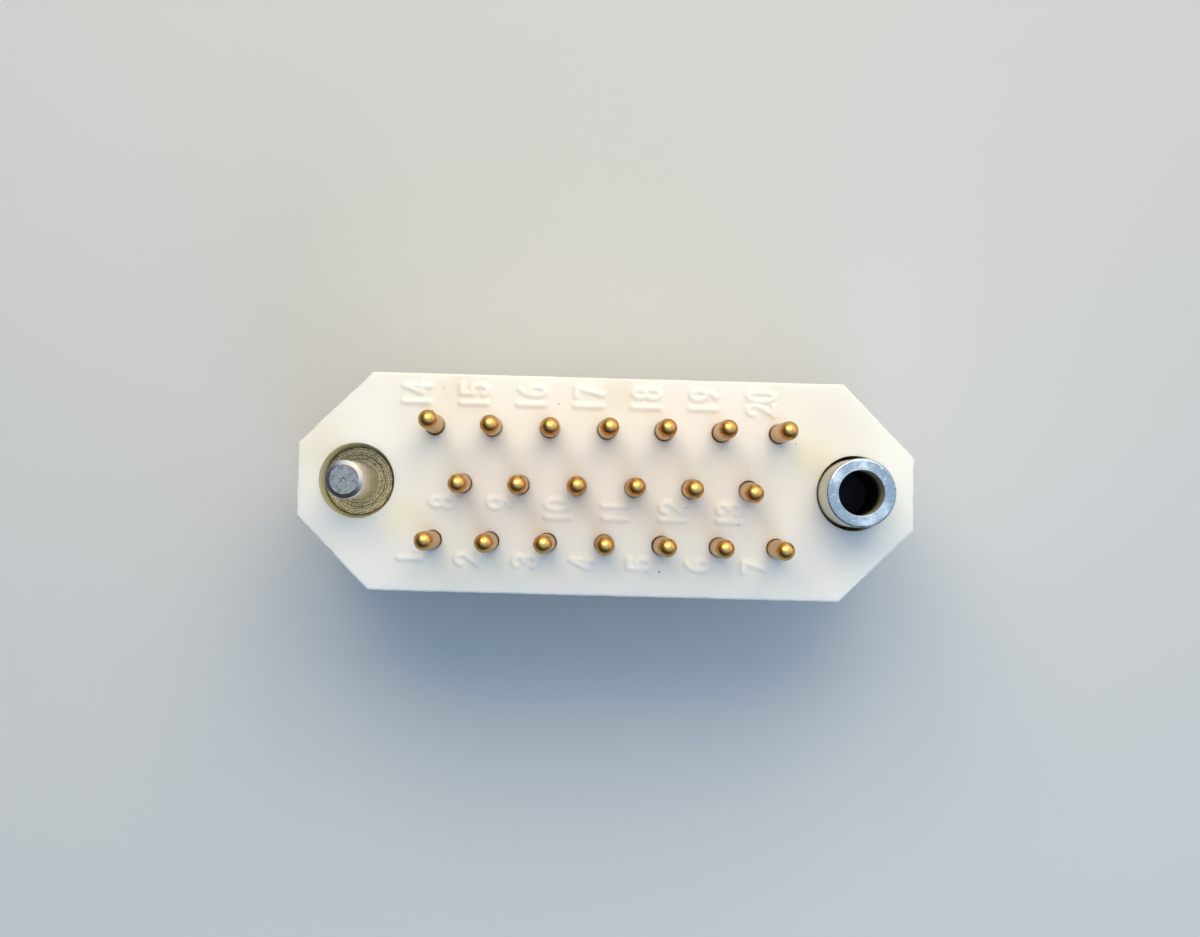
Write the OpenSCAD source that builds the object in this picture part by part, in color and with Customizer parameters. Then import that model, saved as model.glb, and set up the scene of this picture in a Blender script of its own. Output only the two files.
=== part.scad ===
// Printed circuit board connector: a moulded plug with three staggered rows of turned pins,
// a guide pin at one end and a guide socket at the other.
// The origin is the centre of the board face. +Z points to the mating side, +X along the rows
// from the guide pin to the guide socket. Lengths are in millimetres.

/* [Contact layout] */
// Pitch of the contacts along a row
pitch = 3.175; // [2.6:0.005:4]
// Distance between neighbouring rows
row_gap = 3.175; // [2.6:0.005:4]
// Contacts in each outer row, the middle row has one less
outer_count = 7; // [4:1:9]

/* [Insulator] */
// Depth from the board face to the mating face
body_h = 11.1; // [9:0.1:16]
// From the outer row's centre line to the long side
side_margin = 2.875; // [1.8:0.005:4]
// From the guide axis to the end face
end_margin = 3.32; // [2.8:0.01:5]
// From the last contact of an outer row to the guide axis
guide_gap = 4.255; // [3.6:0.005:7]
// Leg of the 45 degree cut at each corner
corner_cut = 4.05; // [2:0.05:4.6]
// Bevel round the board face and the mating face
edge_break = 0.12; // [0.04:0.02:0.4]

/* [Contacts] */
// Diameter of the mating pin
pin_d = 1.02; // [0.8:0.02:1.2]
// Height of the pin's tip above the mating face
pin_out = 5.08; // [3:0.02:8]
// How much wider than the pin the tapered stem is at the shoulder, where it fills its hole
stem_step = 0.03; // [0.01:0.01:0.1]
// Depth below the mating face at which the stem has tapered down to the pin
stem_inset = 0.08; // [0.02:0.02:0.5]
// Width of the step from the stem out to the shoulder and the rear land
shoulder_step = 0.27; // [0.15:0.01:0.4]
// Height of the shoulder that stops against the front wall
shoulder_h = 0.8; // [0.4:0.1:1.5]
// Height of the land that closes the cavity at the board face
land_h = 0.7; // [0.3:0.1:1.5]
// Depth of the waisted barrel below the shoulder and the land
waist = 0.14; // [0.05:0.01:0.25]
// Number of retaining barbs on the barrel
barb_count = 3; // [1:1:4]
// Height of one barb
barb_h = 0.6; // [0.3:0.1:0.9]
// Thickness of the insulator's wall in front of the shoulder
front_wall = 4.2; // [2:0.1:5]
// Diameter of the solder tail
tail_d = 0.64; // [0.5:0.02:0.9]
// Length of the solder tail below the board face
tail_out = 4; // [2:0.1:6]
// Bevel at the end of the tail
tail_bevel = 0.14; // [0.05:0.01:0.2]

/* [Guides] */
// Diameter of the guide socket
guide_d = 3.72; // [3.4:0.02:4]
// How far both floating guides sit off the centres of their holes, towards the guide pin's end
guide_shift = 0.15; // [0:0.01:0.2]
// Depth of the guide pin's collar below the mating face
collar_inset = 2.7; // [1:0.1:3.5]
// Diameter of the guide pin
guide_pin_d = 2.1; // [1.8:0.05:2.6]
// Bevel where the guide pin meets its collar
root_bevel = 0.08; // [0.02:0.02:0.2]
// Height of the guide pin's tip above the mating face
guide_pin_out = 4.7; // [3:0.1:9]
// Length of the taper at the guide pin's tip
taper_h = 0.3; // [0.1:0.05:1]
// Diameter of the flat on the guide pin's tip
tip_flat_d = 1.5; // [1:0.05:1.7]
// Diameter of the turning centre in the tip
centre_d = 0.2; // [0.1:0.05:0.6]
// Height of the guide socket's rim above the mating face
socket_out = 4.15; // [1:0.05:6]
// Diameter of the guide socket's bore
socket_bore_d = 2.44; // [2:0.02:2.9]
// Depth of the guide socket's bore
socket_bore_h = 7.4; // [4:0.1:9]
// Bevel at the mouth of the guide socket's bore
bore_bevel = 0.04; // [0.02:0.01:0.2]
// Bevel at the outer turned edges of the guides
turned_bevel = 0.1; // [0.02:0.01:0.2]

/* [Guide fastening] */
// Height above the board face of the seat that each guide's shoulder stands on
seat_z = 3.6; // [2:0.1:5]
// Width of the guide socket's shoulder, from the spigot out to its own diameter
seat_w = 0.56; // [0.5:0.02:0.6]
// Width of the rim that is rolled over at the spigot's end
rim_w = 0.7; // [0.5:0.05:0.9]
// Thickness of the rolled rim
rim_h = 0.5; // [0.3:0.05:0.8]
// Depth of the rolled rim below the board face
rim_inset = 0.15; // [0.05:0.05:0.4]
// Diameter of the tapped hole for the board screw
tap_d = 1.8; // [1.5:0.05:2]
// Depth of the tapped hole from the board face
tap_h = 5; // [3:0.1:6]
// Bevel at the mouth of the tapped hole
mouth_bevel = 0.4; // [0.1:0.05:0.45]

/* [Clearances] */
// Between the stem and the hole in the front wall
stem_clearance = 0.02; // [0.01:0.01:0.1]
// Between the land or barbs and the wall of the cavity
press_clearance = 0.01; // [0.005:0.005:0.05]
// Slack left between a spigot and the wall on the side that the guide has moved to
guide_slack = 0.05; // [0.02:0.01:0.1]
// Extra room round the guide socket in its front hole
hole_relief = 0.03; // [0.02:0.01:0.2]
// Slack left between the guide pin's collar and its front hole on the side that it has moved to
collar_slack = 0.02; // [0.01:0.01:0.1]
// Extra room round a rolled rim in its recess
recess_relief = 0.2; // [0.05:0.05:0.3]

/* [Hidden] */
$fn = 48;
// Overshoot of a cut past the face that it opens
CUT = 1;

function row(count, y) = [for (i = [0:count - 1]) [(i - (count - 1) / 2) * pitch, y]];
POSITIONS = concat(row(outer_count, -row_gap), row(outer_count - 1, 0), row(outer_count, row_gap));

guide_x = (outer_count - 1) / 2 * pitch + guide_gap;
body_l = 2 * (guide_x + end_margin);
body_w = 2 * (row_gap + side_margin);
across_corners = sqrt(2) * ((body_l + body_w) / 2 - corner_cut);

pin_r = pin_d / 2;
tail_r = tail_d / 2;
stem_r = pin_r + stem_step;
shoulder_r = stem_r + shoulder_step;
barrel_r = shoulder_r - waist;
cavity_r = shoulder_r + press_clearance;
pin_hole_r = stem_r + stem_clearance;
shoulder_z = body_h - front_wall;
pin_z = body_h - stem_inset;
nose_z = body_h + pin_out - pin_r;
barb_step = (shoulder_z - shoulder_h - land_h) / (barb_count + 1);

guide_r = guide_d / 2;
spigot_r = guide_r - seat_w;
rim_r = spigot_r + rim_w;
guide_float = guide_shift + guide_slack;
guide_hole_r = guide_r + guide_float + hole_relief;
collar_r = guide_hole_r - guide_shift - collar_slack;
tap_r = tap_d / 2;
guide_pin_r = guide_pin_d / 2;
socket_bore_r = socket_bore_d / 2;
recess_z = rim_inset + rim_h;
collar_z = body_h - collar_inset;
guide_tip_z = body_h + guide_pin_out;
socket_z = body_h + socket_out;
socket_floor_z = socket_z - socket_bore_h;

function contact_name(n) = str("contact_", n < 10 ? "0" : "", n);
CONTACTS = [1:len(POSITIONS)];

// One pair of opposite sides, with both rims bevelled
module slab(width, angle) {
    half = width / 2;
    rotate([0, 0, angle])
        rotate([90, 0, 0])
            linear_extrude(body_l + body_w, center = true)
                polygon([
                    [edge_break - half, 0],
                    [half - edge_break, 0],
                    [half, edge_break],
                    [half, body_h - edge_break],
                    [half - edge_break, body_h],
                    [edge_break - half, body_h],
                    [-half, body_h - edge_break],
                    [-half, edge_break]
                ]);
}

// Hole for one contact: a wide cavity from the board face, then the narrow hole to the mating face
module contact_hole() {
    translate([0, 0, -CUT])
        cylinder(r = cavity_r, h = shoulder_z + CUT);
    cylinder(r = pin_hole_r, h = body_h + CUT);
}

// Hole for one guide: the wide front hole, the hole through the wall and the recess behind it
module guide_hole() {
    translate([0, 0, seat_z])
        cylinder(r = guide_hole_r, h = body_h - seat_z + CUT);
    cylinder(r = spigot_r + guide_float, h = body_h);
    translate([0, 0, -CUT])
        cylinder(r = rim_r + guide_float + recess_relief, h = recess_z + CUT);
}

// Moulded block with cut corners, drilled for the contacts and the guides
module insulator() {
    color("ivory")
        difference() {
            intersection() {
                slab(body_l, 0);
                slab(body_w, 90);
                slab(across_corners, 45);
                slab(across_corners, -45);
            }
            for (at = POSITIONS)
                translate(at)
                    contact_hole();
            for (x = [-guide_x, guide_x])
                translate([x, 0, 0])
                    guide_hole();
        }
}

// Barbs along the barrel, sloped on the side that enters first
function barb_points() = [
    for (i = [1:barb_count])
        let (z = land_h + i * barb_step - barb_h / 2)
            each [[barrel_r, z], [shoulder_r, z], [barrel_r, z + barb_h]]
];

// Turned contact: solder tail, rear land, barbed barrel, shoulder, tapered stem and round-nosed pin
module contact(at) {
    color("goldenrod")
        translate(at)
            rotate_extrude() {
                polygon(concat(
                    [
                        [0, -tail_out],
                        [tail_r - tail_bevel, -tail_out],
                        [tail_r, tail_bevel - tail_out],
                        [tail_r, 0],
                        [shoulder_r, 0],
                        [shoulder_r, land_h],
                        [barrel_r, land_h]
                    ],
                    barb_points(),
                    [
                        [barrel_r, shoulder_z - shoulder_h],
                        [shoulder_r, shoulder_z - shoulder_h],
                        [shoulder_r, shoulder_z],
                        [stem_r, shoulder_z],
                        [pin_r, pin_z],
                        [pin_r, nose_z],
                        [0, nose_z]
                    ]
                ));
                intersection() {
                    translate([0, nose_z])
                        circle(r = pin_r);
                    translate([0, nose_z])
                        square(pin_r);
                }
            }
}

// Half section of the fastening end, from the tapped hole's floor round the rolled rim to the seat
function fastening_points(seat_r) = [
    [0, tap_h],
    [tap_r, tap_h],
    [tap_r, rim_inset + mouth_bevel],
    [tap_r + mouth_bevel, rim_inset],
    [rim_r - turned_bevel, rim_inset],
    [rim_r, rim_inset + turned_bevel],
    [rim_r, recess_z],
    [spigot_r, recess_z],
    [spigot_r, seat_z],
    [seat_r, seat_z]
];

// Turned guide pin: a collar seated on the wall, rolled over behind it, with a tapered tip
module guide_pin() {
    color("silver")
        translate([-guide_x - guide_shift, 0, 0])
            rotate_extrude()
                polygon(concat(
                    fastening_points(collar_r),
                    [
                        [collar_r, collar_z - turned_bevel],
                        [collar_r - turned_bevel, collar_z],
                        [guide_pin_r + root_bevel, collar_z],
                        [guide_pin_r, collar_z + root_bevel],
                        [guide_pin_r, guide_tip_z - taper_h],
                        [tip_flat_d / 2, guide_tip_z],
                        [centre_d / 2, guide_tip_z],
                        [0, guide_tip_z - centre_d / 2]
                    ]
                ));
}

// Turned guide socket: a tube seated on the wall and rolled over behind it, bored from the front
module guide_socket() {
    color("lightsteelblue")
        translate([guide_x - guide_shift, 0, 0])
            rotate_extrude()
                polygon(concat(
                    fastening_points(guide_r),
                    [
                        [guide_r, socket_z - turned_bevel],
                        [guide_r - turned_bevel, socket_z],
                        [socket_bore_r + bore_bevel, socket_z],
                        [socket_bore_r, socket_z - bore_bevel],
                        [socket_bore_r, socket_floor_z],
                        [0, socket_floor_z]
                    ]
                ));
}

insulator();
guide_pin();
guide_socket();
for (n = CONTACTS)
    contact(POSITIONS[n - 1]);
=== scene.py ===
"""Looks of a board-mounted plug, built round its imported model.

The block, its numerals, its contacts and its two guides are modelled afresh at a finer grain than
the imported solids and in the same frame: metres, the origin at the centre of the board face, +Z
towards the mating side and +X from the guide pin to the guide socket.
"""

import logging
import math
from dataclasses import dataclass, field
from enum import Enum
from itertools import pairwise
from typing import Callable, Iterable, Sequence

import bmesh
import bpy
from mathutils import Matrix, Vector, noise


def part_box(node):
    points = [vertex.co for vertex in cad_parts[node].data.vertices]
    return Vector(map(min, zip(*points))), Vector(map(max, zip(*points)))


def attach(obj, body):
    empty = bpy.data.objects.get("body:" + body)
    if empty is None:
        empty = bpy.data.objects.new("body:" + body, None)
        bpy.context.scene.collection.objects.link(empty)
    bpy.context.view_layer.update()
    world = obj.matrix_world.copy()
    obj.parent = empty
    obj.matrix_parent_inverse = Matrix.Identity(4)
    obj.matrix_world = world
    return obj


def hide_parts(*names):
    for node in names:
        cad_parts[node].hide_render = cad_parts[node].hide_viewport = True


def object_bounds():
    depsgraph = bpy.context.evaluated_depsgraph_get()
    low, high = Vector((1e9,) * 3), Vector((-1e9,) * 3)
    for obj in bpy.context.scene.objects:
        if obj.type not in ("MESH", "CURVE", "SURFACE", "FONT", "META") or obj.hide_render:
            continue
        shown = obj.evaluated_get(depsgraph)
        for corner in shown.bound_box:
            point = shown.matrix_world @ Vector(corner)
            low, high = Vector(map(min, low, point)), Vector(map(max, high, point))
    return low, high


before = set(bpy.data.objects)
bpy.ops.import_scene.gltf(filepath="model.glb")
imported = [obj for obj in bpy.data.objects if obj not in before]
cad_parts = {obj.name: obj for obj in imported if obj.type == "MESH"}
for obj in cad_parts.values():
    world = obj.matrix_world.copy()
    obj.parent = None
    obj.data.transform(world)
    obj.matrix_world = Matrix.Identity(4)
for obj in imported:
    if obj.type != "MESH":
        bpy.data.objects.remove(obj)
CAD_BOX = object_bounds()

LOG = logging.getLogger("board_plug")
MM = 0.001
BODY = "root"

Triple = tuple[float, float, float]
Colour = Triple
Point = tuple[float, float]
Spots = tuple[Triple, ...]
Piece = bpy.types.Object
Feed = "Wire | float | Colour"


class Element(Enum):
    """What a selection in edit mode is made of."""

    VERTS = "VERT"
    EDGES = "EDGE"
    FACES = "FACE"

    def of(self, shape: bmesh.types.BMesh) -> Iterable:
        """Returns the shape's elements of this kind."""
        return {"VERT": shape.verts, "EDGE": shape.edges, "FACE": shape.faces}[self.value]


class Slot(Enum):
    """Material slots of the record."""

    INSULATOR = "insulator"
    CONTACT = "contact"
    GUIDE = "guide_metal"


@dataclass(frozen=True)
class Ring:
    """One ring of a turned profile.

    Args:
        radius: Distance from the axis, 0 for a point on it.
        height: Height along the axis.
    """

    radius: float
    height: float


class Profile:
    """Stretches of a turned profile, as lists of rings."""

    @staticmethod
    def arc(centre: Ring, radius: float, start: float, end: float, steps: int) -> list[Ring]:
        """Rounds a corner.

        Args:
            centre: Centre of the round.
            radius: Radius of the round.
            start: First angle in degrees, 0 pointing away from the axis.
            end: Last angle in degrees.
            steps: Number of stretches.

        Returns:
            The rings along the arc.
        """
        angles = [math.radians(start + (end - start) * step / steps) for step in range(steps + 1)]
        return [
            Ring(
                max(0.0, centre.radius + radius * math.cos(angle)),
                centre.height + radius * math.sin(angle),
            )
            for angle in angles
        ]

    @staticmethod
    def faced(inner: float, outer: float, height: float, feed: float, depth: float) -> list[Ring]:
        """Leaves turning marks on a flat end.

        Args:
            inner: Radius at which the tool starts.
            outer: Radius at which it stops.
            height: Height of the flat.
            feed: Distance between neighbouring grooves.
            depth: Depth of a groove.

        Returns:
            The rings from inner to outer, whichever is larger.
        """
        count = max(2, round(abs(outer - inner) / feed) * 2)
        return [
            Ring(inner + (outer - inner) * i / count, height - depth * (i % 2))
            for i in range(count + 1)
        ]

    @staticmethod
    def threaded(radius: float, start: float, end: float, pitch: float, depth: float) -> list[Ring]:
        """Cuts ridges into a hole's wall.

        Args:
            radius: Radius over the crests of the ridges.
            start: Height of the first crest.
            end: Height of the last crest.
            pitch: Distance between crests.
            depth: Depth of the grooves.

        Returns:
            The rings from start to end.
        """
        count = round(abs(end - start) / pitch) * 2
        return [
            Ring(radius + depth * (i % 2), start + (end - start) * i / count)
            for i in range(count + 1)
        ]


class Bench:
    """Hand tools, each a few modelling operators."""

    SMOOTH_ANGLE = math.radians(38)
    FLAT_WEIGHT = 100

    @staticmethod
    def clear() -> None:
        """Leaves edit mode and deselects everything."""
        if bpy.context.object and bpy.context.object.mode != "OBJECT":
            bpy.ops.object.mode_set(mode="OBJECT")
        bpy.ops.object.select_all(action="DESELECT")

    @staticmethod
    def take(*pieces: Piece) -> None:
        """Selects pieces alone.

        Args:
            pieces: The pieces, of which the last becomes the active one.
        """
        Bench.clear()
        for piece in pieces:
            piece.select_set(True)
        bpy.context.view_layer.objects.active = pieces[-1]

    @staticmethod
    def pick(element: Element, test: Callable[..., bool]) -> None:
        """Selects elements of the piece in edit mode.

        Args:
            element: Kind of element.
            test: Says whether an element is wanted.
        """
        bpy.ops.mesh.select_mode(type=element.value)
        bpy.ops.mesh.select_all(action="DESELECT")
        mesh = bpy.context.object.data
        shape = bmesh.from_edit_mesh(mesh)
        for item in [item for item in element.of(shape) if test(item)]:
            item.select_set(True)
        bmesh.update_edit_mesh(mesh)

    @staticmethod
    def turn(name: str, profile: Sequence[Ring], segments: int) -> Piece:
        """Turns a piece about Z, from the first ring of its profile to the last.

        Args:
            name: Name of the piece.
            profile: Rings in order; the first and last are closed by a flat or a point.
            segments: Number of sides.

        Returns:
            The turned piece, smooth shaded.
        """
        Bench.clear()
        first = profile[0]
        bpy.ops.mesh.primitive_circle_add(
            vertices=segments, radius=first.radius, fill_type="NGON", enter_editmode=True
        )
        bpy.ops.transform.translate(value=(0.0, 0.0, first.height))
        for last, ring in pairwise(profile):
            step = (0.0, 0.0, ring.height - last.height)
            bpy.ops.mesh.extrude_region_move(TRANSFORM_OT_translate={"value": step})
            if ring.radius > 0.0:
                scale = ring.radius / last.radius
                centre = (0.0, 0.0, ring.height)
                bpy.ops.transform.resize(value=(scale, scale, 1.0), center_override=centre)
            else:
                bpy.ops.mesh.merge(type="CENTER")
        bpy.ops.mesh.select_all(action="SELECT")
        bpy.ops.mesh.normals_make_consistent(inside=False)
        bpy.ops.object.mode_set(mode="OBJECT")
        bpy.ops.object.shade_smooth_by_angle(angle=Bench.SMOOTH_ANGLE)
        piece = bpy.context.object
        piece.name = piece.data.name = name
        return piece

    @staticmethod
    def copy(piece: Piece, name: str, shift: Vector) -> Piece:
        """Copies a piece with its own mesh and moves the copy, with its place in its mesh.

        Args:
            piece: The piece to copy.
            name: Name of the copy.
            shift: How far the copy is moved.

        Returns:
            The copy.
        """
        Bench.take(piece)
        bpy.ops.object.duplicate(linked=False)
        made = bpy.context.object
        made.name = made.data.name = name
        Bench.move(made, shift)
        return made

    @staticmethod
    def move(piece: Piece, shift: Vector) -> None:
        """Moves a piece and puts the shift into its mesh.

        Args:
            piece: The piece.
            shift: How far it is moved.
        """
        Bench.take(piece)
        bpy.ops.transform.translate(value=shift)
        bpy.ops.object.transform_apply(location=True, rotation=True, scale=True)

    @staticmethod
    def join(pieces: Sequence[Piece], name: str) -> Piece:
        """Joins pieces into one.

        Args:
            pieces: The pieces, of which the last lends its object.
            name: Name of the result.

        Returns:
            The joined piece.
        """
        Bench.take(*pieces)
        bpy.ops.object.join()
        joined = bpy.context.object
        joined.name = joined.data.name = name
        return joined

    @staticmethod
    def combine(piece: Piece, other: Piece, operation: str) -> None:
        """Adds another piece to a piece or cuts it out, and throws the other away.

        Args:
            piece: The piece that stays.
            other: The piece that is used up.
            operation: UNION or DIFFERENCE.
        """
        Bench.take(piece)
        bpy.ops.object.modifier_add(type="BOOLEAN")
        modifier = piece.modifiers[-1]
        modifier.operation = operation
        modifier.solver = "EXACT"
        modifier.object = other
        bpy.ops.object.modifier_apply(modifier=modifier.name)
        bpy.data.objects.remove(other)

    @staticmethod
    def settle_normals(piece: Piece) -> None:
        """Smooths small rounds and keeps large flats flat.

        Args:
            piece: The piece.
        """
        Bench.take(piece)
        bpy.ops.object.shade_smooth_by_angle(angle=Bench.SMOOTH_ANGLE)
        bpy.ops.object.modifier_add(type="WEIGHTED_NORMAL")
        modifier = piece.modifiers[-1]
        modifier.weight = Bench.FLAT_WEIGHT
        modifier.keep_sharp = True
        bpy.ops.object.modifier_apply(modifier=modifier.name)


class Wire:
    """A shader socket that takes part in Python expressions.

    Args:
        recipe: The material's recipe that the socket belongs to.
        socket: The socket that gives the value.
    """

    def __init__(self, recipe: "Recipe", socket: bpy.types.NodeSocket) -> None:
        """Keeps the socket and its recipe."""
        self.recipe = recipe
        self.socket = socket

    def _math(self, operation: str, first: Feed, second: Feed) -> "Wire":
        """Returns the wire of a Math node on two values."""
        return self.recipe.node("ShaderNodeMath", {"operation": operation}, {0: first, 1: second})

    def __add__(self, other: Feed) -> "Wire":
        """Returns self + other."""
        return self._math("ADD", self, other)

    __radd__ = __add__

    def __sub__(self, other: Feed) -> "Wire":
        """Returns self - other."""
        return self._math("SUBTRACT", self, other)

    def __rsub__(self, other: Feed) -> "Wire":
        """Returns other - self."""
        return self._math("SUBTRACT", other, self)

    def __mul__(self, other: Feed) -> "Wire":
        """Returns self * other."""
        return self._math("MULTIPLY", self, other)

    __rmul__ = __mul__

    def __truediv__(self, other: Feed) -> "Wire":
        """Returns self / other."""
        return self._math("DIVIDE", self, other)

    def __rtruediv__(self, other: Feed) -> "Wire":
        """Returns other / self."""
        return self._math("DIVIDE", other, self)

    def __or__(self, other: Feed) -> "Wire":
        """Returns the larger of the two, the union of two masks."""
        return self._math("MAXIMUM", self, other)

    __ror__ = __or__

    def __and__(self, other: Feed) -> "Wire":
        """Returns the smaller of the two, the overlap of two masks."""
        return self._math("MINIMUM", self, other)

    __rand__ = __and__

    def __abs__(self) -> "Wire":
        """Returns the size of the value without its sign."""
        return self._math("ABSOLUTE", self, 0.0)


class Recipe:
    """The node tree of a material or of the world, under construction.

    Args:
        owner: The material or world.
        output: Type of its output node.
    """

    # Several sockets of a Mix node share a name, so its colours go by number.
    MIX_SHARE, MIX_FIRST, MIX_SECOND, MIX_RESULT = 0, 6, 7, 2

    def __init__(self, owner: bpy.types.Material | bpy.types.World, output: str) -> None:
        """Empties the owner's node tree and adds its output."""
        owner.use_nodes = True
        self.owner = owner
        self.tree = owner.node_tree
        self.tree.nodes.clear()
        self.output = self.tree.nodes.new(output)

    @classmethod
    def of_material(cls, name: str) -> "Recipe":
        """Returns the recipe of a new material."""
        return cls(bpy.data.materials.new(name), "ShaderNodeOutputMaterial")

    @classmethod
    def of_world(cls, name: str) -> "Recipe":
        """Returns the recipe of a new world."""
        return cls(bpy.data.worlds.new(name), "ShaderNodeOutputWorld")

    def node(self, kind: str, settings: dict | None = None, sockets: dict | None = None,
             out: int | str = 0) -> Wire:
        """Adds a node.

        Args:
            kind: The node's type.
            settings: Its properties.
            sockets: Values or wires of its inputs, by name or number.
            out: The output that is wanted.

        Returns:
            The wire of that output.
        """
        made = self.tree.nodes.new(kind)
        for key, value in (settings or {}).items():
            setattr(made, key, value)
        for key, value in (sockets or {}).items():
            self._feed(made.inputs[key], value)
        return Wire(self, made.outputs[out])

    def _vector(self, operation: str, sockets: dict, out: int | str = 0) -> Wire:
        """Returns the wire of a Vector Math node."""
        return self.node("ShaderNodeVectorMath", {"operation": operation}, sockets, out)

    def _feed(self, socket: bpy.types.NodeSocket, value: Feed) -> None:
        """Links a wire to an input or sets its value.

        Args:
            socket: The input.
            value: A wire, a number or a colour.
        """
        if isinstance(value, Wire):
            self.tree.links.new(value.socket, socket)
        elif socket.type == "RGBA":
            socket.default_value = (*value, 1.0)
        else:
            socket.default_value = value

    def place(self) -> Wire:
        """Returns the place on the object, in millimetres."""
        metres = self.node("ShaderNodeTexCoord", out="Object")
        return self._vector("SCALE", {0: metres, "Scale": 1.0 / MM})

    def centred(self, place: Wire, x: float, y: float, stretch: Triple = (1.0, 1.0, 1.0)) -> Wire:
        """Centres a pattern on an upright axis.

        Args:
            place: Place in millimetres.
            x: The axis's x in millimetres.
            y: The axis's y in millimetres.
            stretch: Scale of the pattern along each axis.

        Returns:
            The place as seen from that axis.
        """
        shift = tuple(-at * by for at, by in zip((x, y, 0.0), stretch))
        sockets = {"Vector": place, "Location": shift, "Scale": stretch}
        return self.node("ShaderNodeMapping", None, sockets)

    def turned(self, place: Wire, angle: float) -> Wire:
        """Returns the place on axes that are turned about Z by an angle in degrees."""
        turn = (0.0, 0.0, -math.radians(angle))
        return self.node("ShaderNodeMapping", None, {"Vector": place, "Rotation": turn})

    def split(self, vector: Wire) -> tuple[Wire, Wire, Wire]:
        """Returns the three parts of a vector."""
        made = self.node("ShaderNodeSeparateXYZ", None, {0: vector})
        return tuple(Wire(self, output) for output in made.socket.node.outputs)

    def flat(self, vector: Wire) -> Wire:
        """Returns the vector with its height taken out."""
        return self._vector("MULTIPLY", {0: vector, 1: (1.0, 1.0, 0.0)})

    def length(self, vector: Wire) -> Wire:
        """Returns the length of a vector."""
        return self._vector("LENGTH", {0: vector}, "Value")

    def reach(self, place: Wire, x: float, y: float) -> Wire:
        """Returns the distance from an upright axis."""
        return self.length(self.flat(self.centred(place, x, y)))

    def along(self, vector: Wire, way: Triple) -> Wire:
        """Returns how far a vector goes along a direction."""
        return self._vector("DOT_PRODUCT", {0: vector, 1: way}, "Value")

    def noise(self, place: Wire, scale: float, detail: float = 2.0, rough: float = 0.5) -> Wire:
        """Returns a noise from 0 to 1.

        Args:
            place: Where the noise is read.
            scale: Features to a millimetre.
            detail: Octaves.
            rough: Weight of the finer octaves.

        Returns:
            The noise.
        """
        return self.node(
            "ShaderNodeTexNoise", None,
            {"Vector": place, "Scale": scale, "Detail": detail, "Roughness": rough}, "Fac",
        )

    def rise(self, value: Wire, low: float, high: float,
             bottom: float = 0.0, top: float = 1.0) -> Wire:
        """Eases from bottom to top as a value goes from low to high.

        Args:
            value: The value.
            low: Where the rise starts; above high for a fall.
            high: Where it ends.
            bottom: Result at and before low.
            top: Result at and after high.

        Returns:
            The eased value.
        """
        sockets = {
            "Value": value, "From Min": low, "From Max": high, "To Min": bottom, "To Max": top,
        }
        return self.node("ShaderNodeMapRange", {"interpolation_type": "SMOOTHSTEP"}, sockets)

    def mix(self, share: Feed, first: Feed, second: Feed) -> Wire:
        """Returns a colour between two colours."""
        sockets = {self.MIX_SHARE: share, self.MIX_FIRST: first, self.MIX_SECOND: second}
        return self.node("ShaderNodeMix", {"data_type": "RGBA"}, sockets, self.MIX_RESULT)

    def bump(self, height: Wire, strength: float, reach: float, under: Wire | None = None) -> Wire:
        """Raises the surface by a height.

        Args:
            height: Height from 0 to 1.
            strength: Share of the effect.
            reach: Height in metres that 1 stands for.
            under: Normal of an earlier bump.

        Returns:
            The new normal.
        """
        sockets = {"Height": height, "Strength": strength, "Distance": reach}
        if under:
            sockets["Normal"] = under
        return self.node("ShaderNodeBump", None, sockets)

    def surface(self, sockets: dict) -> bpy.types.Material:
        """Closes the recipe with one surface shader.

        Args:
            sockets: Values or wires of the shader's inputs.

        Returns:
            The finished material.
        """
        self.close(self.node("ShaderNodeBsdfPrincipled", None, sockets))
        return self.owner

    def close(self, shader: Wire) -> None:
        """Links a shader to the output."""
        self._feed(self.output.inputs["Surface"], shader)


@dataclass(frozen=True)
class Patches:
    """Soft uneven patches: a noise, and the stretch of it over which they fade in.

    Args:
        scale: Features to a millimetre.
        low: Noise at which a patch starts.
        high: Noise at which it is full.
        detail: Octaves of the noise.
        rough: Weight of the finer octaves.
    """

    scale: float
    low: float
    high: float
    detail: float = 3.0
    rough: float = 0.5

    def on(self, recipe: Recipe, place: Wire, bottom: float = 0.0, top: float = 1.0) -> Wire:
        """Returns the mask of the patches, from bottom to top."""
        pattern = recipe.noise(place, self.scale, self.detail, self.rough)
        return recipe.rise(pattern, self.low, self.high, bottom, top)


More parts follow.
